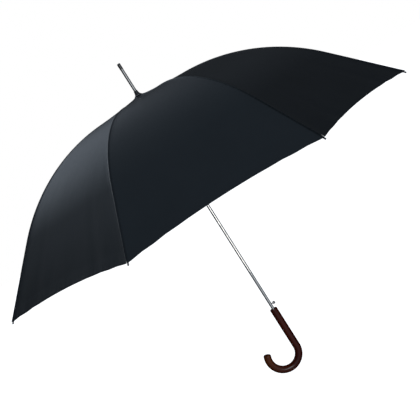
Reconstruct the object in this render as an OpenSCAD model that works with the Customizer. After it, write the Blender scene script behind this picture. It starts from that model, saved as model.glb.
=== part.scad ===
// Stick umbrella, drawn open, in millimetres.
// Z runs along the shaft from the crook up to the ferrule; the origin is on the shaft axis, at the middle of the straight grip.
// The crook lies in the XZ plane and opens toward -X; the push button is on the +X side.

/* [Canopy] */
// Length of a rib, measured along the cloth from the crown to the tip
rib_length = 686; // [600:1:750]
// Slope of the flat inner part of a rib, degrees below level
slope_in = 4; // [2:0.5:8]
// Slope of the straight outer part of a rib, degrees below level
slope_out = 46; // [35:0.5:55]
// Straight inner part of a rib
flat_in = 137; // [100:1:180]
// Straight outer part of a rib
flat_out = 192; // [150:1:240]
// How far the hem rises between two ribs
hem_rise = 17; // [0:1:40]
// Thickness of the cloth
cloth = 0.5; // [0.3:0.1:1]
// How far the cloth is held above the ribs at the crown
crown_rise = 8; // [0:0.5:12]
// Distance from the crown where the cloth comes down to the ribs
rise_reach = 120; // [60:5:135]
// Height of the small tent of cloth round the ferrule
tent = 3.5; // [0:0.5:8]
// Radius of that small tent
tent_reach = 26; // [18:1:40]

/* [Ribs and stretchers] */
// Distance along the cloth from the crown to the stretcher joint
joint_at = 288; // [250:1:320]
// Width of a rib channel
rib_w = 3.5; // [3:0.1:5]
// Height of a rib channel
rib_h = 3; // [2.5:0.1:4]
// Wall of a rib channel
rib_wall = 0.7; // [0.5:0.05:1]
// Distance from the cloth down to the middle of a rib
rib_drop = 2.6; // [2.4:0.1:4]
// Radius of the rivet in a stretcher joint
rivet_r = 0.7; // [0.5:0.05:1]

/* [Shaft] */
// Radius of the shaft tube
shaft_r = 4; // [3.5:0.1:6]
// Wall of the shaft tube
shaft_wall = 0.7; // [0.5:0.1:1.5]
// Height of the crown above the origin
crown_z = 708; // [650:1:760]
// Radius of the circle of pivots in the top notch and the runner
pivot_r = 7.5; // [7:0.1:9]
// Length of the runner below its pivots
runner_len = 73; // [50:1:80]

/* [Ferrule] */
// Height of the ferrule's tip above the crown
ferrule_len = 103; // [60:1:130]
// Length of the dark end cap
end_cap_len = 17; // [10:1:30]
// Radius of the end cap
end_cap_r = 4.4; // [4.2:0.1:8]
// Radius of the crown cone at its foot
cone_r = 10.5; // [8:0.5:12]

/* [Handle] */
// Radius of the wooden grip
grip_r = 10.1; // [8:0.1:11]
// Height of the grip's top end above the origin
grip_top = 58; // [40:1:62]
// Height of the crook's centre (below the origin, so negative)
crook_z = -58; // [-80:0.5:-30]
// Radius of the crook's centre line
crook_r = 42; // [30:0.1:60]
// How far the crook turns, in degrees
crook_turn = 203; // [170:1:230]
// Height of the push button
button_z = 71; // [66:1:72]

/* [Hidden] */
arc_len = rib_length - flat_in - flat_out;
arc_r = arc_len / ((slope_out - slope_in) * PI / 180);
pivot_wire = 0.5;
gore_half = 22.5;
gap = 0.15;
gore_start = 14.35;
// The cloth over a rib: slope, radius and height below the crown at distance s from the crown.
function slope(s) = s < flat_in ? slope_in : s > flat_in + arc_len ? slope_out
    : slope_in + (s - flat_in) / arc_r * 180 / PI;
function rad(s) = s < flat_in ? s * cos(slope_in)
    : s > flat_in + arc_len ? rad(flat_in + arc_len) + (s - flat_in - arc_len) * cos(slope_out)
    : flat_in * cos(slope_in) + arc_r * (sin(slope(s)) - sin(slope_in));
function drop(s) = s < flat_in ? s * sin(slope_in)
    : s > flat_in + arc_len ? drop(flat_in + arc_len) + (s - flat_in - arc_len) * sin(slope_out)
    : flat_in * sin(slope_in) + arc_r * (cos(slope_in) - cos(slope(s)));
function fall(h, s, reach) = s > reach ? 0 : h * pow(1 - s / reach, 2);
function lift(s) = fall(tent, s, tent_reach) + fall(crown_rise, s, rise_reach);
// A point of the rib's middle line, in the rib's own plane.
function rib_pt(s) = [rad(s) - rib_drop * sin(slope(s)), crown_z - drop(s) - rib_drop * cos(slope(s))];
notch_z = crown_z - pivot_r * tan(slope_in) - rib_drop / cos(slope_in);
knee = rib_pt(joint_at);
knee_slope = slope(joint_at);
chord = [knee[0] - pivot_r, notch_z - knee[1]];
stretcher_len = norm(chord);
stretcher_slope = atan2(chord[1], chord[0]);
runner_z = notch_z - 2 * chord[1];
arc_c = [rad(flat_in) - arc_r * sin(slope_in), crown_z - drop(flat_in) - arc_r * cos(slope_in)];
fork = 11;
tip_len = 9;

// A channel open on its underside, running along +X from x0 to x1.
module channel(x0, x1) {
    difference() {
        translate([x0, -rib_w / 2, -rib_h / 2]) cube([x1 - x0, rib_w, rib_h]);
        translate([x0 - 1, -rib_w / 2 + rib_wall, -rib_h / 2 - 1])
            cube([x1 - x0 + 2, rib_w - 2 * rib_wall, rib_h - rib_wall + 1]);
    }
}
// The curved stretch of a rib from distance s0 to s1.
module bent(s0, s1) {
    translate([arc_c[0], 0, arc_c[1]]) rotate([90, 0, 0]) rotate([0, 0, 90 - slope(s1)])
        rotate_extrude(angle = slope(s1) - slope(s0), $fn = 240)
            translate([arc_r - rib_drop, 0]) polygon([
                [-rib_h / 2, -rib_w / 2], [rib_h / 2, -rib_w / 2], [rib_h / 2, rib_w / 2], [-rib_h / 2, rib_w / 2],
                [-rib_h / 2, rib_w / 2 - rib_wall], [rib_h / 2 - rib_wall, rib_w / 2 - rib_wall],
                [rib_h / 2 - rib_wall, -rib_w / 2 + rib_wall], [-rib_h / 2, -rib_w / 2 + rib_wall]]);
}
// A flat plate with a round eye at the origin, reaching to x1, its faces at y0 and y1.
module blade(x1, y0, y1, r) {
    translate([0, y1, 0]) rotate([90, 0, 0]) cylinder(r = r, h = y1 - y0, $fn = 48);
    translate([0, y0, -r * 0.92]) cube([x1, y1 - y0, r * 1.84]);
}
module at_rib(k) { rotate([0, 0, gore_half + 45 * (k - 1)]) children(); }
module at_knee() { translate([knee[0], 0, knee[1]]) children(); }

module rib_inner(k) {
    color([0.62, 0.63, 0.65]) at_rib(k) difference() {
        union() {
            // tongue in the top notch
            translate([pivot_r, 0, notch_z]) rotate([0, slope_in, 0]) blade(9.5, -1, 1, 1.8);
            translate([pivot_r, 0, notch_z]) rotate([0, slope_in, 0]) channel(9, flat_in - pivot_r / cos(slope_in));
            bent(flat_in, joint_at - fork);
            // tongue and rivet of the stretcher joint
            at_knee() rotate([0, knee_slope + 180, 0]) blade(fork + 1, -0.9, 0.9, 1.5);
            at_knee() rotate([90, 0, 0]) cylinder(r = rivet_r, h = 6, center = true, $fn = 48);
            for (e = [-1, 1]) at_knee() translate([0, e * 3.2, 0]) rotate([90, 0, 0])
                cylinder(r = 1.25, h = 0.6, center = true, $fn = 48);
        }
        translate([pivot_r, 0, notch_z]) rotate([90, 0, 0]) cylinder(r = pivot_wire + 0.12, h = 8, center = true, $fn = 48);
    }
}
module rib_outer(k) {
    color([0.62, 0.63, 0.65]) at_rib(k) {
        difference() {
            for (e = [0, 1]) mirror([0, e, 0]) at_knee() rotate([0, knee_slope, 0])
                blade(fork + 0.5, rib_w / 2 - rib_wall, rib_w / 2, 1.5);
            at_knee() rotate([90, 0, 0]) cylinder(r = rivet_r + 0.05, h = 8, center = true, $fn = 48);
        }
        bent(joint_at + fork, flat_in + arc_len);
        s2 = flat_in + arc_len;
        translate([rib_pt(s2)[0], 0, rib_pt(s2)[1]]) rotate([0, slope_out, 0]) {
            channel(0, flat_out - tip_len);
            translate([flat_out - tip_len - 1, -rib_w / 2, -rib_h / 2]) cube([1, rib_w, rib_h]);
            translate([flat_out - tip_len - 0.5, 0, 0]) rotate([0, 90, 0]) cylinder(r = 1, h = 5.5, $fn = 32);
        }
    }
}
module rib_tip(k) {
    color([0.3, 0.3, 0.32]) at_rib(k)
        translate([rib_pt(rib_length)[0], 0, rib_pt(rib_length)[1]]) rotate([0, slope_out + 90, 0])
            rotate_extrude($fn = 48) polygon([
                [1, -tip_len], [1.75, -tip_len], [1.75, -3], for (a = [-40:10:90]) [2.1 * cos(a), -1.2 + 2.1 * sin(a)],
                [0, -tip_len + 5], [1, -tip_len + 5]]);
}
module stretcher(k) {
    color([0.58, 0.59, 0.61]) at_rib(k) difference() {
        at_knee() rotate([0, 180 - stretcher_slope, 0]) {
            for (e = [0, 1]) mirror([0, e, 0]) blade(15, 1.95, 2.75, 1.65);
            translate([13.5, -2.75, -1.5]) cube([3, 5.5, 3]);
            translate([16, 0, 0]) channel(0, stretcher_len - 16 - 8.5);
            translate([stretcher_len, 0, 0]) mirror([1, 0, 0]) blade(9.5, -1, 1, 1.8);
        }
        at_knee() rotate([90, 0, 0]) cylinder(r = rivet_r + 0.05, h = 8, center = true, $fn = 48);
        translate([pivot_r, 0, runner_z]) rotate([90, 0, 0]) cylinder(r = pivot_wire + 0.12, h = 8, center = true, $fn = 48);
    }
}

// Cloth between two ribs: v runs across from -1 to 1, s along the ribs.
function cloth_pt(s, v, off) = let (w = rad(s) * sin(gore_half) - gap, p = slope(s),
    dip = 0.012 * w * (1 - v * v) - off)
    [rad(s) * cos(gore_half) - dip * sin(p), v * w, crown_z - drop(s) + lift(s) - dip * cos(p)];
function hem(v) = rib_length - 3.5 - hem_rise * (1 - v * v);
module cloth_panel(k, s_list, ends_at_hem) {
    across = 6;
    n = len(s_list);
    a = s_list[0];
    b = s_list[n - 1];
    function s_at(i, v) = ends_at_hem ? a + (s_list[i] - a) * (hem(v) - a) / (b - a) : s_list[i];
    pts = [for (side = [-1, 1]) for (i = [0:n - 1]) for (j = [0:across])
        let (v = -1 + 2 * j / across) cloth_pt(s_at(i, v), v, side * cloth / 2)];
    m = across + 1;
    h = n * m;
    quads = concat(
        [for (i = [0:n - 2]) for (j = [0:across - 1]) [i * m + j, i * m + j + 1, (i + 1) * m + j + 1, (i + 1) * m + j]],
        [for (i = [0:n - 2]) for (j = [0:across - 1]) [h + i * m + j, h + (i + 1) * m + j, h + (i + 1) * m + j + 1, h + i * m + j + 1]],
        [for (i = [0:n - 2]) for (e = [0, 1]) let (j = e * across, p = i * m + j, q = (i + 1) * m + j)
            e == 0 ? [p, q, h + q, h + p] : [p, h + p, h + q, q]],
        [for (j = [0:across - 1]) for (e = [0, 1]) let (p = e * (n - 1) * m + j)
            e == 0 ? [p, h + p, h + p + 1, p + 1] : [p, p + 1, h + p + 1, h + p]]);
    tris = [for (q = quads) each [[q[0], q[2], q[1]], [q[0], q[3], q[2]]]];
    rotate([0, 0, 45 * (k - 1)]) polyhedron(pts, [for (t = tris) [t[0], t[2], t[1]]]);
}
module gore_upper(k) {
    color([0.05, 0.05, 0.06]) cloth_panel(k, concat([gore_start, 18, 23, 30, 42, 58, 78, 105],
        [for (i = [0:6]) flat_in + (joint_at - gap - flat_in) * i / 6]), false);
}
module gore_lower(k) {
    color([0.05, 0.05, 0.06]) cloth_panel(k, concat([for (i = [0:8]) joint_at + gap + (flat_in + arc_len - joint_at - gap) * i / 8],
        [for (i = [1:4]) flat_in + arc_len + (flat_out - 3.5) * i / 4]), true);
}

module shaft_tube() {
    color([0.8, 0.81, 0.83]) difference() {
        union() {
            translate([0, 0, 15]) cylinder(r = shaft_r, h = crown_z + 6 - 15, $fn = 64);
            // stop pin above the open runner
            translate([0, 0, runner_z + 6.3]) rotate([90, 0, 0]) cylinder(r = 0.9, h = 2 * shaft_r + 1.8, center = true, $fn = 32);
        }
        translate([0, 0, 20]) cylinder(r = shaft_r - shaft_wall, h = crown_z, $fn = 64);
        translate([0, 0, button_z]) rotate([0, 90, 0]) cylinder(r = 1.58, h = 10, $fn = 48);
        translate([0, -1.2, button_z + 10]) cube([10, 2.4, 14]);
    }
}
module ferrule_tube() {
    color([0.5, 0.5, 0.52]) rotate_extrude($fn = 64) polygon([
        [0, crown_z - 8], [shaft_r - shaft_wall, crown_z - 8], [shaft_r - shaft_wall, crown_z + 6], [shaft_r, crown_z + 6],
        [shaft_r, crown_z + ferrule_len - 4], [0, crown_z + ferrule_len - 4]]);
}
module ferrule_tip() {
    z = crown_z + ferrule_len;
    color([0.04, 0.04, 0.04]) rotate_extrude($fn = 64) polygon(concat(
        [[shaft_r, z - 4], [shaft_r, z - end_cap_len], [end_cap_r, z - end_cap_len]],
        [for (a = [0:15:90]) [end_cap_r - 1.6 + 1.6 * cos(a), z - 1.6 + 1.6 * sin(a)]], [[0, z], [0, z - 4]]));
}
module crown_cap() {
    color([0.04, 0.04, 0.04]) rotate_extrude($fn = 64) polygon([
        [shaft_r, crown_z + 10.1], [cone_r, crown_z + 7.6], [cone_r, crown_z + 8.5], [cone_r - 2, crown_z + 10],
        [cone_r - 3.5, crown_z + 12.2], [6, crown_z + 15.2], [5.3, crown_z + 18.8], [5, crown_z + 22], [shaft_r, crown_z + 22]]);
}
module crown_cloth() {
    edge = [for (s = [4.6, 6, 8, 10, 12, 14]) s];
    color([0.05, 0.05, 0.06]) rotate_extrude($fn = 64) polygon(concat(
        [for (s = edge) [rad(s) * (s > 13 ? cos(gore_half) : 1), crown_z - drop(s) + lift(s) + cloth / 2]],
        [for (i = [5:-1:0]) let (s = edge[i]) [rad(s) * (s > 13 ? cos(gore_half) : 1), crown_z - drop(s) + lift(s) - cloth / 2]]));
}
// Ring of teeth that a pivot wire runs through.
module crown_ring(z) {
    difference() {
        translate([0, 0, z - 2.8]) cylinder(r = 10.5, h = 5.6, $fn = 64);
        for (k = [1:8]) at_rib(k) translate([5.4, -1.2, z - 4]) cube([8, 2.4, 8]);
        translate([0, 0, z]) rotate_extrude($fn = 64) translate([pivot_r, 0]) circle(r = pivot_wire + 0.05, $fn = 32);
    }
}
module top_notch() {
    color([0.12, 0.12, 0.13]) difference() {
        union() {
            crown_ring(notch_z);
            translate([0, 0, notch_z - 8]) cylinder(r = 5.4, h = 10.8, $fn = 64);
        }
        translate([0, 0, notch_z - 20]) cylinder(r = shaft_r, h = 40, $fn = 64);
    }
}
module pivot_ring(z) {
    translate([0, 0, z]) rotate_extrude($fn = 96) translate([pivot_r, 0]) circle(r = pivot_wire, $fn = 32);
}
module notch_wire() { color([0.7, 0.7, 0.72]) pivot_ring(notch_z); }
module runner_wire() { color([0.7, 0.7, 0.72]) pivot_ring(runner_z); }
module runner() {
    color([0.06, 0.06, 0.07]) difference() {
        union() {
            crown_ring(runner_z);
            translate([0, 0, runner_z - runner_len]) cylinder(r = 5.4, h = runner_len + 5, $fn = 64);
            translate([0, 0, runner_z - runner_len]) cylinder(r = 6.8, h = 7, $fn = 64);
            translate([0, 0, runner_z - runner_len + 7]) cylinder(r1 = 6.8, r2 = 5.4, h = 3, $fn = 64);
            translate([0, 0, runner_z - 7]) cylinder(r = 6.6, h = 4.2, $fn = 64);
        }
        translate([0, 0, runner_z - 100]) cylinder(r = shaft_r + 0.08, h = 200, $fn = 64);
    }
}
module trigger_button() {
    color([0.75, 0.76, 0.78]) translate([0, 0, button_z]) rotate([0, 90, 0]) rotate_extrude($fn = 48) polygon(concat(
        [[0, 0.2], [1.5, 0.2], [1.5, 7], [3.6, 7]],
        [for (a = [0:18:90]) [2.4 + 1.2 * cos(a), 12.3 + 1.2 * sin(a)]], [[0, 13.5]]));
}
module trigger_catch() {
    z = button_z + 10;
    color([0.6, 0.6, 0.62]) union() {
        translate([1.2, -0.9, z + 0.3]) cube([2.7 - 0.05, 1.8, 13.4]);
        translate([1.2, -0.9, z + 13]) cube([0.8, 1.8, 22]);
        translate([-3, -0.9, z + 34]) cube([5, 1.8, 1]);
    }
}
module handle() {
    color([0.25, 0.08, 0.05]) union() {
        rotate_extrude($fn = 96) polygon(concat(
            [[0, crook_z], [grip_r, crook_z]],
            [for (a = [0:15:90]) [grip_r - 2 + 2 * cos(a), grip_top - 2 + 2 * sin(a)]],
            [[shaft_r, grip_top], [shaft_r, 15], [0, 15]]));
        translate([-crook_r, 0, crook_z]) rotate([-90, 0, 0]) {
            rotate_extrude(angle = crook_turn, $fn = 180) translate([crook_r, 0]) circle(r = grip_r, $fn = 96);
            // rounded end of the crook
            rotate([0, 0, crook_turn]) translate([crook_r, 0, 0]) rotate([-90, 0, 0]) rotate_extrude($fn = 96) polygon(concat(
                [[0, -1], [grip_r - 0.05, -1], [grip_r - 0.05, 0.02]],
                [for (a = [15:15:90]) [grip_r - 3.5 + 3.5 * cos(a), 3.5 * sin(a)]], [[0, 3.5]]));
        }
    }
}

module rib_1_inner() { rib_inner(1); }
module rib_1_outer() { rib_outer(1); }
module rib_1_tip() { rib_tip(1); }
module stretcher_1() { stretcher(1); }
module rib_2_inner() { rib_inner(2); }
module rib_2_outer() { rib_outer(2); }
module rib_2_tip() { rib_tip(2); }
module stretcher_2() { stretcher(2); }
module rib_3_inner() { rib_inner(3); }
module rib_3_outer() { rib_outer(3); }
module rib_3_tip() { rib_tip(3); }
module stretcher_3() { stretcher(3); }
module rib_4_inner() { rib_inner(4); }
module rib_4_outer() { rib_outer(4); }
module rib_4_tip() { rib_tip(4); }
module stretcher_4() { stretcher(4); }
module rib_5_inner() { rib_inner(5); }
module rib_5_outer() { rib_outer(5); }
module rib_5_tip() { rib_tip(5); }
module stretcher_5() { stretcher(5); }
module rib_6_inner() { rib_inner(6); }
module rib_6_outer() { rib_outer(6); }
module rib_6_tip() { rib_tip(6); }
module stretcher_6() { stretcher(6); }
module rib_7_inner() { rib_inner(7); }
module rib_7_outer() { rib_outer(7); }
module rib_7_tip() { rib_tip(7); }
module stretcher_7() { stretcher(7); }
module rib_8_inner() { rib_inner(8); }
module rib_8_outer() { rib_outer(8); }
module rib_8_tip() { rib_tip(8); }
module stretcher_8() { stretcher(8); }
module gore_1_upper() { gore_upper(1); }
module gore_1_lower() { gore_lower(1); }
module gore_2_upper() { gore_upper(2); }
module gore_2_lower() { gore_lower(2); }
module gore_3_upper() { gore_upper(3); }
module gore_3_lower() { gore_lower(3); }
module gore_4_upper() { gore_upper(4); }
module gore_4_lower() { gore_lower(4); }
module gore_5_upper() { gore_upper(5); }
module gore_5_lower() { gore_lower(5); }
module gore_6_upper() { gore_upper(6); }
module gore_6_lower() { gore_lower(6); }
module gore_7_upper() { gore_upper(7); }
module gore_7_lower() { gore_lower(7); }
module gore_8_upper() { gore_upper(8); }
module gore_8_lower() { gore_lower(8); }

rib_1_inner();
rib_1_outer();
rib_1_tip();
stretcher_1();
rib_2_inner();
rib_2_outer();
rib_2_tip();
stretcher_2();
rib_3_inner();
rib_3_outer();
rib_3_tip();
stretcher_3();
rib_4_inner();
rib_4_outer();
rib_4_tip();
stretcher_4();
rib_5_inner();
rib_5_outer();
rib_5_tip();
stretcher_5();
rib_6_inner();
rib_6_outer();
rib_6_tip();
stretcher_6();
rib_7_inner();
rib_7_outer();
rib_7_tip();
stretcher_7();
rib_8_inner();
rib_8_outer();
rib_8_tip();
stretcher_8();
gore_1_upper();
gore_1_lower();
gore_2_upper();
gore_2_lower();
gore_3_upper();
gore_3_lower();
gore_4_upper();
gore_4_lower();
gore_5_upper();
gore_5_lower();
gore_6_upper();
gore_6_lower();
gore_7_upper();
gore_7_lower();
gore_8_upper();
gore_8_lower();
shaft_tube();
ferrule_tube();
ferrule_tip();
crown_cap();
crown_cloth();
top_notch();
notch_wire();
runner();
runner_wire();
trigger_button();
trigger_catch();
handle();
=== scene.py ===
import math

import bmesh
import bpy
import numpy as np
from mathutils import Matrix, Vector


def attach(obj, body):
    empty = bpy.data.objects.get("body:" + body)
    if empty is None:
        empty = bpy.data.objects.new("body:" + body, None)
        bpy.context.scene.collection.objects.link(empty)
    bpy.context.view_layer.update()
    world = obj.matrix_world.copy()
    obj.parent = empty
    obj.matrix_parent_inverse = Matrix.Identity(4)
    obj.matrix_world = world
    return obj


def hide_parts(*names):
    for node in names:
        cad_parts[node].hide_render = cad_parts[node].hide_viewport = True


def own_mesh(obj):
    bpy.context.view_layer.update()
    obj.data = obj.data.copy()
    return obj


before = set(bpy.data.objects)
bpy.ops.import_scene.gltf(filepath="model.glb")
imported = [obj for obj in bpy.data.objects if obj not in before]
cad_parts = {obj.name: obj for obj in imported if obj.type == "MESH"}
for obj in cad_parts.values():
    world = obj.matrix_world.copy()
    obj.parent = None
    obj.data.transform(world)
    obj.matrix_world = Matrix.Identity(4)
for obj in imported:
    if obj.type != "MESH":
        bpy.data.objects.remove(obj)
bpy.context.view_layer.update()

# ---------------------------------------------------------------- sizes, in metres
RIB = 0.686
FLAT_IN, FLAT_OUT = 0.137, 0.192
SLOPE_IN, SLOPE_OUT = math.radians(4), math.radians(46)
ARC = RIB - FLAT_IN - FLAT_OUT
ARC_R = ARC / (SLOPE_OUT - SLOPE_IN)
CROWN_Z = 0.708
JOINT = 0.288
HALF = math.radians(22.5)
HEM_RISE = 0.017
TENT, TENT_REACH = 0.0035, 0.026
CROWN_RISE, RISE_REACH = 0.008, 0.120
GRIP_R, GRIP_TOP = 0.0101, 0.058
CROOK_Z, CROOK_R, CROOK_TURN = -0.058, 0.042, math.radians(203)
GORE_START = 0.01435
HEM_FOLD = 0.0086
TIP_INSET = 0.0035
WEAVE = 0.00045
STITCH_IN, STITCH_LONG = 0.0078, 0.0026


def slope(s):
    return SLOPE_IN + np.clip((s - FLAT_IN) / ARC_R, 0, SLOPE_OUT - SLOPE_IN)


def rad(s):
    p = slope(s)
    return (
        np.minimum(s, FLAT_IN) * math.cos(SLOPE_IN)
        + ARC_R * (np.sin(p) - math.sin(SLOPE_IN))
        + np.maximum(s - FLAT_IN - ARC, 0) * math.cos(SLOPE_OUT)
    )


def drop(s):
    p = slope(s)
    return (
        np.minimum(s, FLAT_IN) * math.sin(SLOPE_IN)
        + ARC_R * (math.cos(SLOPE_IN) - np.cos(p))
        + np.maximum(s - FLAT_IN - ARC, 0) * math.sin(SLOPE_OUT)
    )


def lift(s):
    return TENT * np.clip(1 - s / TENT_REACH, 0, 1) ** 2 + CROWN_RISE * np.clip(1 - s / RISE_REACH, 0, 1) ** 2


def turned(p, angle):
    c, s = math.cos(angle), math.sin(angle)
    q = p.copy()
    q[..., 0] = c * p[..., 0] - s * p[..., 1]
    q[..., 1] = s * p[..., 0] + c * p[..., 1]
    return q


# ---------------------------------------------------------------- node helpers
class Nodes:
    def __init__(self, name):
        self.mat = bpy.data.materials.new(name)
        self.mat.use_nodes = True
        self.tree = self.mat.node_tree
        self.bsdf = self.tree.nodes["Principled BSDF"]

    def add(self, kind, **values):
        n = self.tree.nodes.new(kind)
        for k, v in values.items():
            if hasattr(n, k):
                setattr(n, k, v)
            else:
                n.inputs[k].default_value = v
        return n

    def link(self, a, b):
        self.tree.links.new(a, b)

    def set(self, **values):
        for k, v in values.items():
            self.bsdf.inputs[k.replace("_", " ")].default_value = v

    def math(self, op, a, b=None):
        n = self.add("ShaderNodeMath", operation=op)
        for i, v in enumerate((a, b)):
            if v is None:
                continue
            if isinstance(v, (int, float)):
                n.inputs[i].default_value = v
            else:
                self.link(v, n.inputs[i])
        return n.outputs[0]

    def ramp(self, fac, stops):
        n = self.add("ShaderNodeValToRGB")
        e = n.color_ramp.elements
        while len(e) < len(stops):
            e.new(0.5)
        for i, (p, c) in enumerate(stops):
            e[i].position = p
            e[i].color = (*c, 1)
        self.link(fac, n.inputs["Fac"])
        return n.outputs["Color"]

    def span(self, value, lo, hi, out_lo, out_hi):
        n = self.add("ShaderNodeMapRange")
        self.link(value, n.inputs["Value"])
        for k, v in zip(("From Min", "From Max", "To Min", "To Max"), (lo, hi, out_lo, out_hi)):
            n.inputs[k].default_value = v
        return n.outputs["Result"]

    def noise(self, vector, scale, detail=4.0, rough=0.5):
        n = self.add("ShaderNodeTexNoise")
        n.inputs["Scale"].default_value = scale
        n.inputs["Detail"].default_value = detail
        n.inputs["Roughness"].default_value = rough
        self.link(vector, n.inputs["Vector"])
        return n.outputs["Fac"]

    def coords(self, scale=(1, 1, 1), uv=None):
        if uv:
            src = self.add("ShaderNodeUVMap", uv_map=uv).outputs["UV"]
        else:
            src = self.add("ShaderNodeTexCoord").outputs["Object"]
        m = self.add("ShaderNodeMapping")
        m.inputs["Scale"].default_value = scale
        self.link(src, m.inputs["Vector"])
        return m.outputs["Vector"]

    def bump(self, height, strength, distance, normal=None):
        n = self.add("ShaderNodeBump")
        n.inputs["Strength"].default_value = strength
        n.inputs["Distance"].default_value = distance
        self.link(height, n.inputs["Height"])
        if normal is not None:
            self.link(normal, n.inputs["Normal"])
        return n.outputs["Normal"]


def cloth_material():
    m = Nodes("canopy_cloth")
    uv = m.coords(uv="cut")
    sep = m.add("ShaderNodeSeparateXYZ")
    m.link(uv, sep.inputs[0])
    edge = m.add("ShaderNodeSeparateXYZ")
    m.link(m.coords(uv="edges"), edge.inputs[0])
    warp = m.math("SINE", m.math("MULTIPLY", sep.outputs["X"], 2 * math.pi / WEAVE))
    weft = m.math("SINE", m.math("MULTIPLY", sep.outputs["Y"], 2 * math.pi / WEAVE))
    weave = m.math("MULTIPLY", warp, weft)
    cloudy = m.noise(m.coords((9, 9, 1), "cut"), 1.0, 3.0)
    slubs = m.noise(m.coords((1400, 60, 1), "cut"), 1.0, 2.0)
    colour = m.ramp(
        m.math("ADD", m.math("MULTIPLY", cloudy, 0.6), m.math("MULTIPLY", slubs, 0.4)),
        [(0.3, (0.0034, 0.0044, 0.0054)), (0.7, (0.0062, 0.0078, 0.0096))],
    )
    m.link(colour, m.bsdf.inputs["Base Color"])
    m.link(m.span(slubs, 0.2, 0.8, 0.30, 0.40), m.bsdf.inputs["Roughness"])
    # a dashed line of stitches along the hem fold
    off_line = m.math("ABSOLUTE", m.math("SUBTRACT", edge.outputs["Y"], STITCH_IN))
    near = m.math("LESS_THAN", off_line, 0.00035)
    along = m.math("SINE", m.math("MULTIPLY", sep.outputs["X"], 2 * math.pi / STITCH_LONG))
    dash = m.math("GREATER_THAN", along, -0.3)
    stitch = m.math("MULTIPLY", near, dash)
    # stitched seam pulls the cloth into fine puckers near a rib
    fade = m.span(edge.outputs["X"], 0.0, 0.012, 1.0, 0.0)
    pucker = m.math("MULTIPLY", fade, m.noise(m.coords((30, 140, 1), "cut"), 1.0, 2.0))
    hem_fade = m.span(edge.outputs["Y"], 0.004, 0.03, 1.0, 0.0)
    hem_pull = m.math("MULTIPLY", hem_fade, m.noise(m.coords((90, 20, 1), "cut"), 1.0, 2.0))
    broad = m.noise(m.coords((14, 5, 1), "cut"), 1.0, 2.0)
    n = m.bump(broad, 0.5, 0.0016)
    n = m.bump(m.math("ADD", pucker, hem_pull), 0.7, 0.0012, n)
    n = m.bump(stitch, 0.6, 0.0003, n)
    n = m.bump(weave, 0.25, 0.00006, n)
    m.link(n, m.bsdf.inputs["Normal"])
    m.set(Sheen_Weight=0.02, Sheen_Roughness=0.4)
    m.set(Specular_IOR_Level=0.45, Specular_Tint=(0.72, 0.88, 1.0, 1.0))
    return m.mat


def metal(name, colour, rough, streak, depth, spread=0.05):
    m = Nodes(name)
    n = m.noise(m.coords(streak), 1.0, 3.0)
    fine = m.noise(m.coords((260, 260, 260)), 1.0, 4.0)
    m.link(
        m.ramp(fine, [(0.3, tuple(c * 0.9 for c in colour)), (0.7, colour)]),
        m.bsdf.inputs["Base Color"],
    )
    m.link(m.span(n, 0.25, 0.75, max(rough - spread, 0.02), rough + spread), m.bsdf.inputs["Roughness"])
    m.link(m.bump(n, 0.3, depth), m.bsdf.inputs["Normal"])
    m.set(Metallic=1.0)
    return m.mat


def plastic(name, colour, rough, coat=0.0):
    m = Nodes(name)
    fine = m.noise(m.coords((1, 1, 1)), 900.0, 3.0)
    cloudy = m.noise(m.coords((1, 1, 1)), 60.0, 3.0)
    darker, lighter = tuple(c * 0.8 for c in colour), tuple(c * 1.15 for c in colour)
    m.link(m.ramp(cloudy, [(0.3, darker), (0.7, lighter)]), m.bsdf.inputs["Base Color"])
    m.link(m.span(cloudy, 0.3, 0.7, rough * 0.85, rough * 1.15), m.bsdf.inputs["Roughness"])
    m.link(m.bump(fine, 0.2, 0.00004), m.bsdf.inputs["Normal"])
    m.set(Coat_Weight=coat, Coat_Roughness=0.05)
    return m.mat


def wood_material():
    m = Nodes("handle_wood")
    # u runs along the grip in metres, v round it in metres
    grain_at = m.coords((9, 330, 1), "grain")
    fine_at = m.coords((60, 1800, 1), "grain")
    long_at = m.coords((3, 3, 1), "grain")
    grain = m.noise(grain_at, 1.0, 5.0, 0.62)
    fine = m.noise(fine_at, 1.0, 4.0, 0.6)
    mix = m.math("ADD", m.math("MULTIPLY", grain, 0.7), m.math("MULTIPLY", fine, 0.3))
    dark = m.ramp(
        mix,
        [(0.34, (0.014, 0.0012, 0.0007)), (0.5, (0.050, 0.0040, 0.0022)), (0.66, (0.110, 0.011, 0.0050))],
    )
    light = m.ramp(
        mix,
        [(0.34, (0.030, 0.0055, 0.0012)), (0.5, (0.088, 0.020, 0.0036)), (0.66, (0.17, 0.052, 0.008))],
    )
    sep = m.add("ShaderNodeSeparateXYZ")
    m.link(m.coords((1, 1, 1), "grain"), sep.inputs[0])
    wander = m.noise(long_at, 4.0, 2.0)
    along = m.math("ADD", sep.outputs["X"], m.math("MULTIPLY", m.math("SUBTRACT", wander, 0.5), 0.06))
    tone = m.span(along, 0.15, 0.26, 0.12, 0.85)
    blend = m.add("ShaderNodeMix", data_type="RGBA")
    m.link(tone, blend.inputs["Factor"])
    m.link(dark, blend.inputs["A"])
    m.link(light, blend.inputs["B"])
    m.link(blend.outputs["Result"], m.bsdf.inputs["Base Color"])
    m.link(m.span(mix, 0.3, 0.7, 0.34, 0.26), m.bsdf.inputs["Roughness"])
    m.link(m.bump(mix, 0.25, 0.00012), m.bsdf.inputs["Normal"])
    m.set(Coat_Weight=0.3, Coat_Roughness=0.06, Coat_IOR=1.5, Specular_IOR_Level=0.1)
    return m.mat


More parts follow.
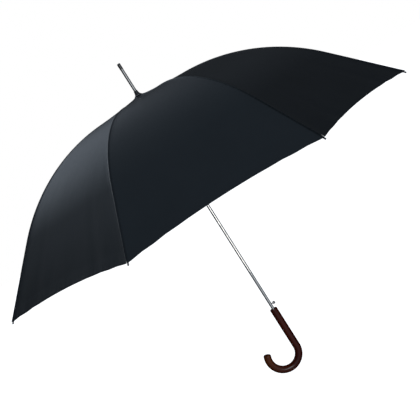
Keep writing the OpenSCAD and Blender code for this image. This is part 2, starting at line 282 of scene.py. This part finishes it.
CLOTH = cloth_material()
CHROME = metal("shaft_chrome", (0.88, 0.84, 0.78), 0.07, (220, 220, 3), 0.000004, 0.03)
RIB_STEEL = metal("rib_steel", (0.50, 0.505, 0.52), 0.30, (500, 500, 500), 0.00001)
STRETCHER_STEEL = metal("stretcher_steel", (0.54, 0.545, 0.56), 0.27, (500, 500, 500), 0.00001)
TIP = metal("tip_metal", (0.16, 0.16, 0.17), 0.35, (600, 600, 600), 0.00001)
FERRULE = metal("ferrule_steel", (0.36, 0.36, 0.355), 0.36, (300, 300, 6), 0.000002, 0.02)
WIRE = metal("wire_steel", (0.62, 0.62, 0.64), 0.22, (500, 500, 500), 0.00001)
BUTTON = metal("button_metal", (0.10, 0.10, 0.105), 0.22, (500, 500, 500), 0.000005, 0.03)
CATCH = metal("catch_steel", (0.52, 0.52, 0.53), 0.30, (500, 500, 60), 0.00001)
BLACK = plastic("black_plastic", (0.0085, 0.0085, 0.0095), 0.22, coat=0.6)
NOTCH = plastic("notch_plastic", (0.020, 0.020, 0.022), 0.42)
RUNNER = plastic("runner_plastic", (0.014, 0.014, 0.016), 0.28, coat=0.3)
WOOD = wood_material()


# ---------------------------------------------------------------- mesh helpers
def make(name, points, faces, material, normals=None, uvs=None, flat_faces=()):
    """normals: one per point. uvs: {name: array of one pair per point}."""
    mesh = bpy.data.meshes.new(name)
    mesh.from_pydata([tuple(p) for p in points], [], [tuple(int(i) for i in f) for f in faces])
    mesh.update()
    mesh.materials.append(material)
    corner = np.zeros(len(mesh.loops), np.int32)
    mesh.loops.foreach_get("vertex_index", corner)
    for key, values in (uvs or {}).items():
        layer = mesh.uv_layers.new(name=key)
        layer.data.foreach_set("uv", np.asarray(values, np.float32)[corner].ravel())
    mesh.polygons.foreach_set("use_smooth", [True] * len(mesh.polygons))
    if normals is not None:
        loops = np.asarray(normals, float)[corner]
        for i in flat_faces:
            poly = mesh.polygons[i]
            for j in poly.loop_indices:
                loops[j] = poly.normal
        mesh.normals_split_custom_set([tuple(n) for n in loops])
    obj = bpy.data.objects.new(name, mesh)
    bpy.context.scene.collection.objects.link(obj)
    return obj


def surface_normals(fn, a, b, da=1e-5, db=1e-4):
    p = fn(a + da, b) - fn(a - da, b)
    q = fn(a, b + db) - fn(a, b - db)
    n = np.cross(p, q)
    return n / np.maximum(np.linalg.norm(n, axis=-1, keepdims=True), 1e-12)


def thick_sheet(name, top, bottom, normals, uvs, material):
    """A closed sheet from two grids of points of the same shape (rows, columns, 3)."""
    rows, cols = top.shape[:2]
    count = rows * cols
    points = np.concatenate([top.reshape(-1, 3), bottom.reshape(-1, 3)])
    faces, rim = [], []
    for i in range(rows - 1):
        for j in range(cols - 1):
            a, b = i * cols + j, i * cols + j + 1
            c, d = b + cols, a + cols
            faces.append((a, d, c, b))
            faces.append((a + count, b + count, c + count, d + count))
    border = (
        [(i * cols, (i + 1) * cols) for i in range(rows - 1)]
        + [((rows - 1) * cols + j, (rows - 1) * cols + j + 1) for j in range(cols - 1)]
        + [(i * cols + cols - 1, (i - 1) * cols + cols - 1) for i in range(rows - 1, 0, -1)]
        + [(j, j - 1) for j in range(cols - 1, 0, -1)]
    )
    for a, b in border:
        rim.append(len(faces))
        faces.append((a, a + count, b + count, b))
    n = np.concatenate([normals.reshape(-1, 3), -normals.reshape(-1, 3)])
    both = {k: np.concatenate([v.reshape(-1, 2)] * 2) for k, v in uvs.items()}
    return make(name, points, faces, material, n, both, rim)


# ---------------------------------------------------------------- the canopy
SEAM_GAP = 0.00004


def gore_surface(s, v):
    """v runs across the gore from -1 to 1, s down it along the ribs."""
    w = rad(s) * math.sin(HALF) - SEAM_GAP
    p = slope(s)
    from_edge = w * (1 - np.abs(v))
    dip = 0.012 * w * (1 - v * v)
    # the cloth stands up in a bead over the rib and its seam, with the stitched line sunk in the crest
    bead = 0.0014 * np.exp(-((from_edge / 0.0020) ** 2)) - 0.0004 * np.exp(-from_edge / 0.0003)
    dip = dip - bead * np.clip((s - 0.02) / 0.05, 0, 1)
    # shallow pull lines that run from each tip up into the panel
    t = np.clip((s - 0.40) / (RIB - 0.40), 0, 1)
    side = np.abs(v)
    reach = (side > 0.22) * np.clip((side - 0.22) / 0.3, 0, 1) * np.exp(-(((side - 0.75) / 0.3) ** 2))
    dip = dip + 0.0011 * t * t * np.sin(9.0 * side * np.pi) * reach
    x = rad(s) * math.cos(HALF) - dip * np.sin(p)
    z = CROWN_Z - drop(s) + lift(s) - dip * np.cos(p)
    return np.stack([x, v * w, z], -1)


def hem_at(v):
    return RIB - TIP_INSET - HEM_RISE * (1 - v * v)


def across(w, inner):
    """Positions across a panel of half width w: close together by the seams, even between."""
    close = np.array([0, 0.0003, 0.0007, 0.0012, 0.0018, 0.0025, 0.0034, 0.005, 0.008]) * min(1.0, w / 0.03)
    mid = np.linspace(-w + close[-1], w - close[-1], inner + 2)[1:-1]
    y = np.concatenate([-w + close, mid, (w - close)[::-1]])
    return y / w


def gore(k, part):
    angle = math.radians(45 * (k - 1))
    inner = 15
    if part == "upper":
        s_rows = np.concatenate([np.linspace(GORE_START, 0.030, 7), np.linspace(0.036, JOINT, 24)])
        count = len(s_rows)
    else:
        t_rows = np.linspace(0, 1, 36)[:-1]
        hem_rows = np.array([0.0088, 0.0084, 0.0044, 0.0006, 0.0])
        count = len(t_rows) + len(hem_rows)
    S, V = [], []
    for i in range(count):
        if part == "upper":
            s0 = s_rows[i]
            v = across(rad(s0) * math.sin(HALF), inner)
            s = np.full(len(v), s0)
        else:
            guess = JOINT + (RIB - JOINT) * i / (count - 1)
            v = across(rad(guess) * math.sin(HALF), inner)
            end = hem_at(v)
            if i < len(t_rows):
                s = JOINT + t_rows[i] * (end - 0.0092 - JOINT)
            else:
                s = end - hem_rows[i - len(t_rows)]
        S.append(s)
        V.append(v)
    S, V = np.array(S), np.array(V)
    P = gore_surface(S, V)
    N = surface_normals(gore_surface, S, V)
    N = N * np.sign((N * np.array([0, 0, 1.0])).sum(-1, keepdims=True))
    w = rad(S) * math.sin(HALF)
    to_hem = hem_at(V) - S
    # the hem is the cloth folded under, so it is twice as thick
    half = np.where(to_hem < HEM_FOLD, 0.00034, 0.00019)[..., None]
    top, bottom = P + N * half * 0.7, P - N * half * 1.3
    uvs = {
        "cut": np.stack([V * w + 0.7 * k, S], -1),
        "edges": np.stack([w * (1 - np.abs(V)), to_hem], -1),
    }
    name = f"gore_{k}_{part}_cloth"
    faces = [turned(grid, angle) for grid in (top, bottom, N)]
    obj = thick_sheet(name, *faces, uvs, CLOTH)
    body = f"gore_{k}_{part}"
    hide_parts(body)
    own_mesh(obj)
    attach(obj, body)
    # the cut's flat length and area, down the middle of the panel, which is a little shorter than its ribs
    ends = (GORE_START, JOINT) if part == "upper" else (JOINT, RIB - TIP_INSET)
    cells = np.linspace(*ends, 400)
    width = 2 * rad(cells) * math.sin(HALF)
    down = np.hypot(np.cos(slope(cells)) * math.cos(HALF), np.sin(slope(cells)))
    steps = (down[1:] + down[:-1]) / 2 * np.diff(cells)
    area = float(((width[1:] + width[:-1]) / 2 * steps).sum())
    if part == "lower":
        area -= 2 / 3 * HEM_RISE * width[-1]


def seam_tape(k, part):
    """The seam's turned edges, a narrow band between the rib and the cloth."""
    angle = math.radians(22.5 + 45 * (k - 1))
    if part == "inner":
        s = np.linspace(0.018, JOINT - 0.002, 40)
    else:
        s = np.linspace(JOINT + 0.002, RIB - 0.012, 56)
    y = np.array([-0.0052, -0.0026, 0, 0.0026, 0.0052])
    S, Y = np.meshgrid(s, y, indexing="ij")
    p = slope(S)

    def at(depth):
        x = rad(S) - np.abs(Y) * math.tan(HALF) - depth * np.sin(p)
        return np.stack([x, Y, CROWN_Z - drop(S) + lift(S) - depth * np.cos(p)], -1)

    N = np.stack([np.sin(p), np.sign(Y) * 0.38 * np.sin(p), np.cos(p)], -1)
    N /= np.linalg.norm(N, axis=-1, keepdims=True)
    uvs = {"cut": np.stack([Y, S], -1), "edges": np.stack([0.05 + 0 * Y, 0.05 + 0 * Y], -1)}
    faces = [turned(grid, angle) for grid in (at(0.00052), at(0.00078), N)]
    obj = thick_sheet(f"seam_{k}_{part}", *faces, uvs, CLOTH)
    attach(obj, f"rib_{k}_{part}")


def crown():
    """The tented middle of the cloth round the ferrule, gathered in small pleats."""
    s = np.array([0.0047, 0.0060, 0.0075, 0.0090, 0.0105, 0.0120, 0.0135, 0.0146])
    ph = np.linspace(0, 2 * math.pi, 129)
    S, PH = np.meshgrid(s, ph, indexing="ij")
    local = (PH + HALF) % (2 * HALF) - HALF
    flatness = np.clip((S - 0.006) / 0.006, 0, 1)
    scale = 1 + flatness * (math.cos(HALF) / np.cos(local) - 1)
    r = rad(S) * scale
    pleat = 0.00012 * np.cos(16 * PH) * np.clip((0.0135 - S) / 0.006, 0, 1)
    low = np.where(S > 0.0138, 0.0004, 0.0)
    z = CROWN_Z - drop(S) + lift(S) + pleat - low
    P = np.stack([r * np.cos(PH), r * np.sin(PH), z], -1)
    g = -np.gradient(z[:, 0], s)[:, None] * np.ones_like(PH)
    N = np.stack([g * np.cos(PH), g * np.sin(PH), np.ones_like(PH)], -1)
    N /= np.linalg.norm(N, axis=-1, keepdims=True)
    uvs = {"cut": np.stack([P[..., 0], P[..., 1]], -1), "edges": np.stack([0.05 + 0 * S, 0.05 + 0 * S], -1)}
    # rows run outward and columns anticlockwise, so flip the columns to face up
    P, N = P[:, ::-1], N[:, ::-1]
    uvs = {key: grid[:, ::-1] for key, grid in uvs.items()}
    obj = thick_sheet("crown_cloth_tent", P + N * 0.0002, P - N * 0.0002, N, uvs, CLOTH)
    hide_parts("crown_cloth")
    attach(obj, "shaft")


for k in range(1, 9):
    gore(k, "upper")
    gore(k, "lower")
    seam_tape(k, "inner")
    seam_tape(k, "outer")
crown()


# ---------------------------------------------------------------- the handle
def handle():
    """A lofted rod: each station is a distance along its axis and a radius there."""
    rim, dome = 0.002, 0.0045
    straight = GRIP_TOP - CROOK_Z
    whole = straight + CROOK_R * CROOK_TURN
    stations = [(0.0, 0.0041), (0.0, 0.0060), (0.0, GRIP_R - rim)]
    for a in np.linspace(0.25, math.pi / 2, 6):
        stations.append((rim * (1 - math.cos(a)), GRIP_R - rim + rim * math.sin(a)))
    stations += [(d, GRIP_R) for d in np.linspace(0.006, whole - 0.0008, 150)]
    for a in np.linspace(0, math.pi / 2 * 0.98, 10):
        stations.append((whole + dome * math.sin(a), GRIP_R * (0.62 + 0.38 * math.cos(a))))
    end = whole + dome
    stations += [(end + 0.0002, 0.0042), (end + 0.0003, 0.0018), (end + 0.0003, 0.00002)]
    sides = 72
    P, U = [], []
    for d, r in stations:
        if d <= straight:
            centre, side = Vector((0, 0, GRIP_TOP - d)), Vector((1, 0, 0))
        else:
            a = min((d - straight) / CROOK_R, CROOK_TURN)
            side = Vector((math.cos(a), 0, -math.sin(a)))
            along = Vector((-math.sin(a), 0, -math.cos(a)))
            past = d - straight - a * CROOK_R
            centre = Vector((-CROOK_R, 0, CROOK_Z)) + side * CROOK_R + along * past
        for j in range(sides + 1):
            b = 2 * math.pi * j / sides
            out = side * math.cos(b) + Vector((0, 1, 0)) * math.sin(b)
            P.append(centre + out * r)
            U.append((d, b * GRIP_R))
    cols = sides + 1
    faces = []
    for i in range(len(stations) - 1):
        for j in range(sides):
            a = i * cols + j
            faces.append((a, a + cols, a + cols + 1, a + 1))
    obj = make("handle_crook", P, faces, WOOD, None, {"grain": np.array(U)})
    # the seam column meets itself, so weld it and keep the two sets of grain coordinates
    bm = bmesh.new()
    bm.from_mesh(obj.data)
    bmesh.ops.remove_doubles(bm, verts=bm.verts, dist=1e-6)
    bmesh.ops.recalc_face_normals(bm, faces=bm.faces)
    bm.to_mesh(obj.data)
    bm.free()
    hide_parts("handle")
    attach(obj, "shaft")


handle()

# ---------------------------------------------------------------- carried-over CAD pieces
LOOKS = {
    "rib_": RIB_STEEL,
    "stretcher_": STRETCHER_STEEL,
    "shaft_tube": CHROME,
    "ferrule_tube": FERRULE,
    "ferrule_tip": BLACK,
    "crown_cap": BLACK,
    "top_notch": NOTCH,
    "runner_wire": WIRE,
    "notch_wire": WIRE,
    "runner": RUNNER,
    "trigger_button": BUTTON,
    "trigger_catch": CATCH,
}
for name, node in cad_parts.items():
    look = next((v for k, v in LOOKS.items() if name.startswith(k)), None)
    if name.startswith("rib_") and name.endswith("_tip"):
        look = TIP
    if look is not None:
        node.data.materials.clear()
        node.data.materials.append(look)

# ---------------------------------------------------------------- floor, light, camera
def paper_material():
    m = Nodes("floor_paper")
    n = m.noise(m.coords((1, 1, 1)), 1.5, 2.0)
    m.link(m.ramp(n, [(0.3, (0.8865,) * 3), (0.7, (0.90,) * 3)]), m.bsdf.inputs["Base Color"])
    m.set(Roughness=0.9, Emission_Color=(1, 1, 1, 1), Emission_Strength=1.0)
    return m.mat


FLOOR_HALF, FLOOR_Z = 40, -0.7
floor_mesh = bpy.data.meshes.new("floor")
corners = [(x * FLOOR_HALF, y * FLOOR_HALF, FLOOR_Z) for x, y in ((-1, -1), (1, -1), (1, 1), (-1, 1))]
floor_mesh.from_pydata(corners, [], [(0, 1, 2, 3)])
floor_mesh.materials.append(paper_material())
floor = bpy.data.objects.new("floor", floor_mesh)
bpy.context.scene.collection.objects.link(floor)
# a lit white floor would wash out a black canopy, so only the camera sees it
floor.visible_diffuse = False
floor.visible_glossy = False

# a white surround to look at, and a softer, one-sided one that lights the object
world = bpy.data.worlds.new("studio")
bpy.context.scene.world = world
world.use_nodes = True
wt = world.node_tree
bg = wt.nodes["Background"]
where = wt.nodes.new("ShaderNodeTexCoord")
# soft patches of light: direction, where each starts and is full (as a cosine), strengths there
PATCHES = (
    ((-0.12, 0.28, 0.95), 0.60, 1.0, 0.010, 0.34),
    ((-0.28, 0.82, 0.50), 0.91, 1.0, 0.0, 0.47),
    ((0.64, 0.55, 0.50), 0.87, 1.0, 0.0, 0.06),
    ((0.1, -1.0, -0.15), 0.3, 0.97, 0.0, 0.34),
    ((0.45, -0.75, 0.5), 0.45, 1.0, 0.0, 0.30),
)
glow = None
for toward, lo, hi, least, most in PATCHES:
    facing = wt.nodes.new("ShaderNodeVectorMath")
    facing.operation = "DOT_PRODUCT"
    facing.inputs[1].default_value = Vector(toward).normalized()
    wt.links.new(where.outputs["Generated"], facing.inputs[0])
    soft = wt.nodes.new("ShaderNodeMapRange")
    soft.interpolation_type = "SMOOTHSTEP"
    for key, value in (("From Min", lo), ("From Max", hi), ("To Min", least), ("To Max", most)):
        soft.inputs[key].default_value = value
    wt.links.new(facing.outputs["Value"], soft.inputs["Value"])
    if glow is None:
        glow = soft.outputs["Result"]
    else:
        both = wt.nodes.new("ShaderNodeMath")
        wt.links.new(glow, both.inputs[0])
        wt.links.new(soft.outputs["Result"], both.inputs[1])
        glow = both.outputs[0]
seen = wt.nodes.new("ShaderNodeLightPath")
pick = wt.nodes.new("ShaderNodeMix")
pick.data_type = "FLOAT"
wt.links.new(seen.outputs["Is Camera Ray"], pick.inputs["Factor"])
wt.links.new(glow, pick.inputs["A"])
pick.inputs["B"].default_value = 1.0
wt.links.new(pick.outputs["Result"], bg.inputs["Strength"])
# the object is lit a little blue; a Mix node's sockets 6 and 7 are its colours A and B
cool = wt.nodes.new("ShaderNodeMix")
cool.data_type = "RGBA"
wt.links.new(seen.outputs["Is Camera Ray"], cool.inputs[0])
cool.inputs[6].default_value = (0.86, 0.97, 1.12, 1)
cool.inputs[7].default_value = (1, 1, 1, 1)
wt.links.new(cool.outputs[2], bg.inputs["Color"])
bpy.context.scene.view_settings.view_transform = "Standard"


def area_light(name, at, to, size, power, colour=(1, 1, 1)):
    data = bpy.data.lights.new(name, "AREA")
    data.shape = "RECTANGLE"
    data.size, data.size_y = size
    data.energy = power
    data.color = colour
    o = bpy.data.objects.new(name, data)
    o.location = at
    o.rotation_mode = "QUATERNION"
    o.rotation_quaternion = (Vector(to) - Vector(at)).to_track_quat("-Z", "Y")
    bpy.context.scene.collection.objects.link(o)
    o.visible_camera = False


area_light("key", (-1.30, 1.80, 1.42), (-0.15, 0, 0.5), (0.8, 0.8), 1.5, (0.86, 0.93, 1.0))
area_light("front", (0.25, -3.0, 0.5), (0, 0, 0.2), (0.7, 1.8), 20)

right = Vector((0.84232, -0.04923, -0.53673)).normalized()
ahead = Vector((0.01323, 0.99741, -0.07071)).normalized()
up = right.cross(ahead).normalized()
right = ahead.cross(up).normalized()
camera = bpy.data.cameras.new("camera")
camera.sensor_width = 36
camera.lens = 66.67
camera.shift_x = 0.0975
camera.shift_y = 0.0194
camera.clip_start, camera.clip_end = 0.05, 80
cam = bpy.data.objects.new("camera", camera)
turn = Matrix((right, up, -ahead)).transposed().to_4x4()
cam.matrix_world = Matrix.Translation((-0.1296, -2.0148, 0.5496)) @ turn
bpy.context.scene.collection.objects.link(cam)
bpy.context.scene.camera = cam
